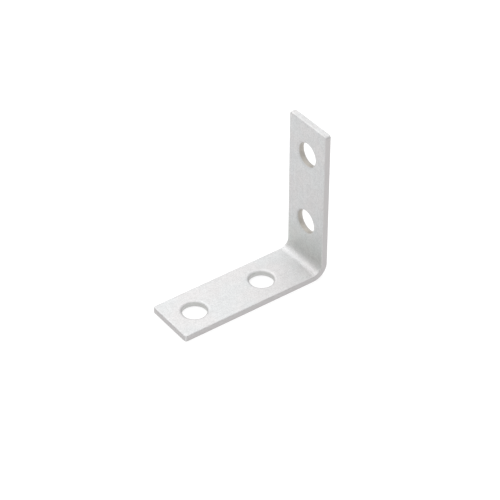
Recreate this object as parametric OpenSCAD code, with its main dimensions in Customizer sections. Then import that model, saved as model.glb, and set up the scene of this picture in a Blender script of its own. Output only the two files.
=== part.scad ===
// Angle bracket: one flat steel strip, punched with two screw holes in each leg
// and folded through a right angle. The foot lies along X with its underside on
// Z = 0, the upright stands at +X, and the strip's width is along Y.
// The origin is the centre of the foot's underside.

/* [Strip] */
// Length of the foot, outside the fold
foot_len = 38.1; // [30:0.1:60]
// Height of the upright, outside the fold
upright_len = 38.1; // [30:0.1:60]
// Width of the strip
strip_w = 12.5; // [10:0.1:25]
// Thickness of the strip
strip_t = 1.5; // [1:0.05:3]

/* [Fold] */
// Radius inside the fold
fold_r = 2.2; // [1:0.1:4]

/* [Screw holes] */
// Diameter of the punched bore
hole_d = 5.6; // [3:0.1:7]
// Distance between the two holes of a leg
hole_pitch = 18; // [10:0.1:20]
// Free end of the foot to its first hole
foot_hole_inset = 6.7; // [6:0.1:9]
// Free end of the upright to its first hole
upright_hole_inset = 8.1; // [6:0.1:9]
// Width of the soft rim round each hole, on the inside faces
rim_w = 0.65; // [0.2:0.05:1.2]
// Depth of that rim
rim_depth = 0.35; // [0.1:0.05:0.8]
// How much wider the bore breaks out at the outside faces
breakout_w = 0.15; // [0.05:0.05:0.4]
// Depth of the breakout
breakout_depth = 0.4; // [0.1:0.05:0.45]

/* [Edges] */
// Radius rolled onto the edges of the inside faces by shearing
edge_roll = 0.3; // [0.1:0.05:0.6]
// Radius left on the edges of the outside faces after tumbling
edge_break = 0.12; // [0.05:0.01:0.3]
// Radius of the free ends' corners, seen square on
corner_r = 0.6; // [0.4:0.1:3]

/* [Hidden] */
$fn = 96;
// Outside radius of the fold
fold_outer_r = fold_r + strip_t;
// Heel line, where the two outside faces would meet
heel_x = foot_len / 2;
// How far a cutter passes through the faces that it opens
through = 1;
// Radius of the arc that leads the rim from the inside face down into the bore
rim_arc_r = (rim_w * rim_w + rim_depth * rim_depth) / (2 * rim_depth);

// What rounding a square corner at the origin takes away
module corner_waste(radius) {
    difference() {
        translate([-through, -through]) square(radius + through);
        translate([radius, radius]) circle(radius);
    }
}

// Cross-section of the strip: width along X, outside face at Y = 0, inside face up
module strip_section() {
    difference() {
        translate([-strip_w / 2, 0]) square([strip_w, strip_t]);
        for (side = [0, 1]) mirror([side, 0]) {
            translate([-strip_w / 2, 0]) corner_waste(edge_break);
            translate([-strip_w / 2, strip_t]) mirror([0, 1]) corner_waste(edge_roll);
        }
    }
}

// The same edge, seen from its side: reach along X, outside face at Y = 0
module edge_profile(reach) {
    difference() {
        square([reach, strip_t]);
        translate([reach, 0]) mirror([1, 0]) corner_waste(edge_break);
        translate([reach, strip_t]) rotate(180) corner_waste(edge_roll);
    }
}

// One leg, laid along +X from the fold to its free end, inside face up
module leg(length) {
    corner_x = length - corner_r;
    corner_y = strip_w / 2 - corner_r;
    // From the fold to the corners' centres
    rotate([90, 0, 90]) linear_extrude(corner_x) strip_section();
    // Between the corners, out to the free end
    translate([corner_x - corner_r, corner_y, 0])
        rotate([90, 0, 0]) linear_extrude(2 * corner_y) edge_profile(2 * corner_r);
    // The corners
    for (side = [-1, 1]) translate([corner_x, side * corner_y, 0])
        rotate_extrude() edge_profile(corner_r);
}

// The quarter turn between the legs, about the fold's axis along Y
module fold() {
    rotate([90, 0, 0]) rotate([0, 0, -90]) rotate_extrude(angle = 90)
        translate([fold_outer_r, 0]) rotate(90) strip_section();
}

// What a punch and its die take out of a leg, with the inside face up
module hole_cutter() {
    bore_r = hole_d / 2;
    rotate_extrude() {
        translate([0, -through]) square([bore_r, strip_t + 2 * through]);
        difference() {
            translate([0, strip_t - rim_depth])
                square([bore_r + rim_w, rim_depth + through]);
            translate([bore_r + rim_w, strip_t - rim_arc_r]) circle(rim_arc_r);
        }
        polygon([[0, -through], [bore_r + breakout_w, -through],
            [bore_r + breakout_w, 0], [bore_r, breakout_depth], [0, breakout_depth]]);
    }
}

// A leg's two holes, the first at its inset from the free end
module hole_pair(length, inset) {
    for (i = [0, 1]) translate([length - inset - i * hole_pitch, 0, 0]) hole_cutter();
}

// Puts what is laid along +X from the heel onto the foot
module on_foot() {
    translate([heel_x, 0, 0]) mirror([1, 0, 0]) children();
}

// Puts what is laid along +X from the heel onto the upright
module on_upright() {
    translate([heel_x, 0, 0]) rotate([0, -90, 0]) children();
}

module bracket() {
    color("#dfe0e1") difference() {
        union() {
            on_foot() translate([fold_outer_r, 0, 0]) leg(foot_len - fold_outer_r);
            translate([heel_x - fold_outer_r, 0, fold_outer_r]) fold();
            on_upright() translate([fold_outer_r, 0, 0]) leg(upright_len - fold_outer_r);
        }
        on_foot() hole_pair(foot_len, foot_hole_inset);
        on_upright() hole_pair(upright_len, upright_hole_inset);
    }
}

bracket();
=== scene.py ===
import math
import bpy
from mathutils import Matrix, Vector

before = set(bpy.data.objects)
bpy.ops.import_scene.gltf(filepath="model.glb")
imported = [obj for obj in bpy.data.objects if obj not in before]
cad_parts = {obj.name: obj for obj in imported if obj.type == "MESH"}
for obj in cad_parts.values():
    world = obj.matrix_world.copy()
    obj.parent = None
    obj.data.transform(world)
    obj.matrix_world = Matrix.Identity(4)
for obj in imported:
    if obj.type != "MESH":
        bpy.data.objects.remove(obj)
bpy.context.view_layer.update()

MM = 0.001

# The camera stands high beyond the foot's free end, at the photograph's viewing angle
CAMERA_PLACE = Vector((-191.745, -266.701, 274.337)) * MM
CAMERA_AZIMUTH = -36.069
CAMERA_ELEVATION = 38.585
CAMERA_LENS = 139.97
CAMERA_CLIP = (0.01, 5.0)

# The floor's side, its own colour and roughness, how much it glows, and its gap under the foot
FLOOR_SIDE = 3.0
FLOOR_COLOUR = (0.35, 0.35, 0.35, 1)
FLOOR_ROUGHNESS = 0.9
FLOOR_GLOW = 0.68
FLOOR_DROP = 0.02 * MM

# The studio tent: its light level at each height, from the horizon to overhead
TENT = ((0.0, 0.17), (0.25, 0.34), (0.62, 0.53), (0.8, 0.8), (1.0, 1.0))
TENT_LEVEL = 1.78

# The softbox behind the bracket: where it hangs, its side and its power
SOFTBOX_PLACE = (-0.03, 0.35, 0.37)
SOFTBOX_SIDE = 0.5
SOFTBOX_POWER = 0.75

# The bracket's form, in mm: its sides, the foot's free end, the upright's two faces and the bores
STRIP_HALF_WIDTH = 6.25
FOOT_REACH = 19.05
UPRIGHT_INSIDE_X = 17.55
UPRIGHT_BACK_X = 19.05
BORE_RADIUS = 2.8
FOOT_HOLES_X = (-12.35, 5.65)
UPRIGHT_HOLES_Z = (30.0, 12.0)

# The zinc wanders between these two colours and degrees of gloss
ZINC_DARK = (0.56, 0.56, 0.56, 1)
ZINC_LIGHT = (0.69, 0.69, 0.69, 1)
ZINC_ROUGHNESS = (0.5, 0.6)
ZINC_METALLIC = 0.7

# Large faint stains tint the plating, and their noise turns from cool to warm between two values
STAIN_COOL = (0.985, 0.995, 1.0, 1)
STAIN_WARM = (1.0, 0.985, 0.985, 1)
STAIN_TURN = (0.35, 0.65)

# Sizes of the plating's crystals, its mottling, its stains and the strip's rolling lines, in mm
CRYSTAL_SIZE = 0.26
CRYSTAL_HEIGHT = 0.06
MOTTLE_SIZE = 1.3
STAIN_SIZE = 6.0
ROLLING_SIZE = 0.4
ROLLING_STRETCH = (0.05, 1.0, 0.05)

# How much mottling and rolling lines count beside the crystals, and the tones that they span
COARSE_SHARE = 0.3
TONE_LOW = 0.2 + COARSE_SHARE
TONE_HIGH = 0.8 + COARSE_SHARE

# Painted shade: on its inside the upright is darker and greener just above the fold, where shade
# falls. It comes in between the first two heights and fades out between the others, in mm
FOLD_SHADE_COLOUR = (0.93, 0.95, 0.925, 1)
FOLD_SHADE_FROM = (1.6, 3.2)
FOLD_SHADE_TO = (4.5, 14.0)

# Sheared edges and punched bores are duller than the faces, and the upright's bores are brownish.
# Their colours fade in over these bands, in mm: inwards from a cut face, outwards from a bore
CUT_BAND = (0.12, 0.01)
BORE_BAND = (0.02, 0.2)
CUT_COLOUR = (0.53, 0.515, 0.515, 1)
FOOT_BORE_COLOUR = (0.57, 0.57, 0.56, 1)
UPRIGHT_BORE_COLOUR = (0.49, 0.465, 0.43, 1)


def link_nodes(tree, *pairs):
    """Joins each (output, input) pair of sockets in a node tree."""
    for output, target in pairs:
        tree.links.new(output, target)


def feed(tree, target, source):
    """Gives an input a fixed value, or joins another node's output to it."""
    if isinstance(source, bpy.types.NodeSocket):
        tree.links.new(source, target)
    else:
        target.default_value = source


def calculate(tree, operation, *terms):
    """The result of a Math node on these terms."""
    node = tree.nodes.new("ShaderNodeMath")
    node.operation = operation
    for target, term in zip(node.inputs, terms):
        feed(tree, target, term)
    return node.outputs["Value"]


def rise(tree, value, low, high):
    """0 up to low, 1 from high on, and smooth between."""
    node = tree.nodes.new("ShaderNodeMapRange")
    node.interpolation_type = "SMOOTHSTEP"
    feed(tree, node.inputs["Value"], value)
    node.inputs["From Min"].default_value = low
    node.inputs["From Max"].default_value = high
    return node.outputs["Result"]


def spread(tree, value, low, high):
    """Spreads a 0 to 1 value over the range from low to high."""
    node = tree.nodes.new("ShaderNodeMapRange")
    feed(tree, node.inputs["Value"], value)
    node.inputs["To Min"].default_value = low
    node.inputs["To Max"].default_value = high
    return node.outputs["Result"]


def mix_colours(tree, amount, first, second, blend="MIX"):
    """Blends the second colour over the first."""
    node = tree.nodes.new("ShaderNodeMix")
    node.data_type = "RGBA"
    node.blend_type = blend
    sockets = {socket.identifier: socket for socket in node.inputs}
    feed(tree, sockets["Factor_Float"], amount)
    feed(tree, sockets["A_Color"], first)
    feed(tree, sockets["B_Color"], second)
    return next(socket for socket in node.outputs if socket.identifier == "Result_Color")


def add_noise(tree, place, size, stretch=(1.0, 1.0, 1.0), detail=2.0):
    """Noise with spots of this size in mm, drawn out where stretch is below 1."""
    mapping = tree.nodes.new("ShaderNodeMapping")
    mapping.inputs["Scale"].default_value = [part / (size * MM) for part in stretch]
    noise = tree.nodes.new("ShaderNodeTexNoise")
    noise.inputs["Scale"].default_value = 1.0
    noise.inputs["Detail"].default_value = detail
    link_nodes(
        tree,
        (place, mapping.inputs["Vector"]),
        (mapping.outputs["Vector"], noise.inputs["Vector"]),
    )
    return noise.outputs["Fac"]


def distance_from_axis(tree, place, across, centre):
    """Distance from a hole's axis: across masks out the axis, centre is a point on it."""
    flat = tree.nodes.new("ShaderNodeVectorMath")
    flat.operation = "MULTIPLY"
    flat.inputs[1].default_value = across
    away = tree.nodes.new("ShaderNodeVectorMath")
    away.operation = "DISTANCE"
    away.inputs[1].default_value = Vector(centre) * MM
    link_nodes(tree, (place, flat.inputs[0]), (flat.outputs["Vector"], away.inputs[0]))
    return away.outputs["Value"]


def in_bores(tree, place, across, centres):
    """1 on the walls of a leg's two bores and 0 elsewhere."""
    distances = [distance_from_axis(tree, place, across, centre) for centre in centres]
    nearest = calculate(tree, "MINIMUM", *distances)
    outside = rise(tree, nearest, *[(BORE_RADIUS + band) * MM for band in BORE_BAND])
    return calculate(tree, "SUBTRACT", 1.0, outside)


def on_cut_faces(tree, place):
    """1 on the strip's sheared sides and the foot's end face, and 0 elsewhere."""
    split = tree.nodes.new("ShaderNodeSeparateXYZ")
    tree.links.new(place, split.inputs["Vector"])
    sideways = calculate(tree, "ABSOLUTE", split.outputs["Y"])
    along_foot = calculate(tree, "MULTIPLY", split.outputs["X"], -1.0)
    on_side = rise(tree, sideways, *[(STRIP_HALF_WIDTH - band) * MM for band in CUT_BAND])
    on_end = rise(tree, along_foot, *[(FOOT_REACH - band) * MM for band in CUT_BAND])
    return calculate(tree, "MAXIMUM", on_side, on_end)


def painted_shade_above_fold(tree, place):
    """Where shade is painted: 1 above the fold on the upright's inside, fading out upwards and
    towards the back.
    """
    split = tree.nodes.new("ShaderNodeSeparateXYZ")
    tree.links.new(place, split.inputs["Vector"])
    begins = rise(tree, split.outputs["Z"], *[height * MM for height in FOLD_SHADE_FROM])
    ends = rise(tree, split.outputs["Z"], *[height * MM for height in FOLD_SHADE_TO])
    behind = rise(tree, split.outputs["X"], UPRIGHT_INSIDE_X * MM, UPRIGHT_BACK_X * MM)
    here = calculate(tree, "SUBTRACT", begins, ends)
    return calculate(tree, "MULTIPLY", here, calculate(tree, "SUBTRACT", 1.0, behind))


def new_material(name):
    """A plain material, its node tree and its surface shader."""
    material = bpy.data.materials.new(name)
    material.use_nodes = True
    return material, material.node_tree, material.node_tree.nodes["Principled BSDF"]


def zinc_plate():
    """Bright zinc plating over rolled steel: fine crystals, faint mottling and rolling lines."""
    material, tree, shader = new_material("zinc_steel")
    place = tree.nodes.new("ShaderNodeTexCoord").outputs["Object"]
    crystals = add_noise(tree, place, CRYSTAL_SIZE)
    mottling = add_noise(tree, place, MOTTLE_SIZE)
    rolling = add_noise(tree, place, ROLLING_SIZE, ROLLING_STRETCH)
    stains = add_noise(tree, place, STAIN_SIZE)

    coarse = calculate(tree, "MULTIPLY", calculate(tree, "ADD", mottling, rolling), COARSE_SHARE)
    grain = calculate(tree, "ADD", crystals, coarse)
    tone = rise(tree, grain, TONE_LOW, TONE_HIGH)
    colour = mix_colours(tree, tone, ZINC_DARK, ZINC_LIGHT)
    tint = mix_colours(tree, rise(tree, stains, *STAIN_TURN), STAIN_COOL, STAIN_WARM)
    colour = mix_colours(tree, 1.0, colour, tint, "MULTIPLY")
    # Painted shade: darkens the upright's inside just above the fold, with a slight green tint
    colour = mix_colours(tree, painted_shade_above_fold(tree, place), colour, FOLD_SHADE_COLOUR, "MULTIPLY")
    colour = mix_colours(tree, on_cut_faces(tree, place), colour, CUT_COLOUR)
    foot_bores = in_bores(tree, place, (1, 1, 0), [(x, 0, 0) for x in FOOT_HOLES_X])
    colour = mix_colours(tree, foot_bores, colour, FOOT_BORE_COLOUR)
    upright_bores = in_bores(tree, place, (0, 1, 1), [(0, 0, z) for z in UPRIGHT_HOLES_Z])
    colour = mix_colours(tree, upright_bores, colour, UPRIGHT_BORE_COLOUR)

    bump = tree.nodes.new("ShaderNodeBump")
    bump.inputs["Distance"].default_value = CRYSTAL_HEIGHT * MM
    link_nodes(
        tree,
        (colour, shader.inputs["Base Color"]),
        (spread(tree, rolling, *ZINC_ROUGHNESS), shader.inputs["Roughness"]),
        (crystals, bump.inputs["Height"]),
        (bump.outputs["Normal"], shader.inputs["Normal"]),
    )
    shader.inputs["Metallic"].default_value = ZINC_METALLIC
    return material


def studio_white():
    """A glowing white table that keeps the soft shadow, and is clear when seen from below."""
    material, tree, shader = new_material("studio_white")
    shader.inputs["Base Color"].default_value = FLOOR_COLOUR
    shader.inputs["Roughness"].default_value = FLOOR_ROUGHNESS
    shader.inputs["Specular IOR Level"].default_value = 0.0
    shader.inputs["Emission Color"].default_value = (1, 1, 1, 1)
    shader.inputs["Emission Strength"].default_value = FLOOR_GLOW
    side = tree.nodes.new("ShaderNodeNewGeometry")
    clear = tree.nodes.new("ShaderNodeBsdfTransparent")
    mix = tree.nodes.new("ShaderNodeMixShader")
    link_nodes(
        tree,
        (side.outputs["Backfacing"], mix.inputs[0]),
        (shader.outputs["BSDF"], mix.inputs[1]),
        (clear.outputs["BSDF"], mix.inputs[2]),
        (mix.outputs["Shader"], tree.nodes["Material Output"].inputs["Surface"]),
    )
    return material


def add_floor(material):
    """The table that the bracket stands on, part of the stage."""
    bpy.ops.object.select_all(action="DESELECT")
    bpy.ops.mesh.primitive_plane_add(size=FLOOR_SIDE, location=(0, 0, -FLOOR_DROP))
    floor = bpy.context.object
    floor.name = "floor"
    floor.data.materials.append(material)


def add_softbox():
    """One broad lamp behind and above the bracket, aimed at its middle."""
    light = bpy.data.lights.new("softbox", "AREA")
    light.size = SOFTBOX_SIDE
    light.energy = SOFTBOX_POWER
    lamp = bpy.data.objects.new("softbox", light)
    bpy.context.scene.collection.objects.link(lamp)
    lamp.location = Vector(SOFTBOX_PLACE)
    lamp.rotation_mode = "QUATERNION"
    lamp.rotation_quaternion = (-lamp.location).to_track_quat("-Z", "Y")


def set_world():
    """A soft studio tent: dim at the horizon, bright higher up."""
    world = bpy.data.worlds.new("studio")
    bpy.context.scene.world = world
    world.use_nodes = True
    tree = world.node_tree
    nodes = tree.nodes
    back = nodes["Background"]
    direction = nodes.new("ShaderNodeTexCoord")
    split = nodes.new("ShaderNodeSeparateXYZ")
    ramp = nodes.new("ShaderNodeValToRGB")
    stops = ramp.color_ramp.elements
    while len(stops) < len(TENT):
        stops.new(TENT[-1][0])
    for stop, (height, level) in zip(stops, TENT):
        stop.position = height
        stop.color = (level, level, level, 1)
    back.inputs["Strength"].default_value = TENT_LEVEL
    link_nodes(
        tree,
        (direction.outputs["Generated"], split.inputs["Vector"]),
        (split.outputs["Z"], ramp.inputs["Fac"]),
        (ramp.outputs["Color"], back.inputs["Color"]),
    )


def add_camera():
    """The camera, set by its place, the way that it looks and its lens."""
    data = bpy.data.cameras.new("camera")
    data.lens = CAMERA_LENS
    data.clip_start, data.clip_end = CAMERA_CLIP
    camera = bpy.data.objects.new("camera", data)
    bpy.context.scene.collection.objects.link(camera)
    azimuth, elevation = math.radians(CAMERA_AZIMUTH), math.radians(CAMERA_ELEVATION)
    back = Vector((
        math.sin(azimuth) * math.cos(elevation),
        -math.cos(azimuth) * math.cos(elevation),
        math.sin(elevation),
    ))
    camera.location = CAMERA_PLACE
    camera.rotation_mode = "QUATERNION"
    camera.rotation_quaternion = (-back).to_track_quat("-Z", "Y")
    bpy.context.scene.camera = camera


bpy.context.scene.view_settings.view_transform = "Standard"
add_camera()
set_world()
add_softbox()
add_floor(studio_white())

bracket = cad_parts["bracket"]
zinc = zinc_plate()
for slot in bracket.material_slots:
    slot.material = zinc
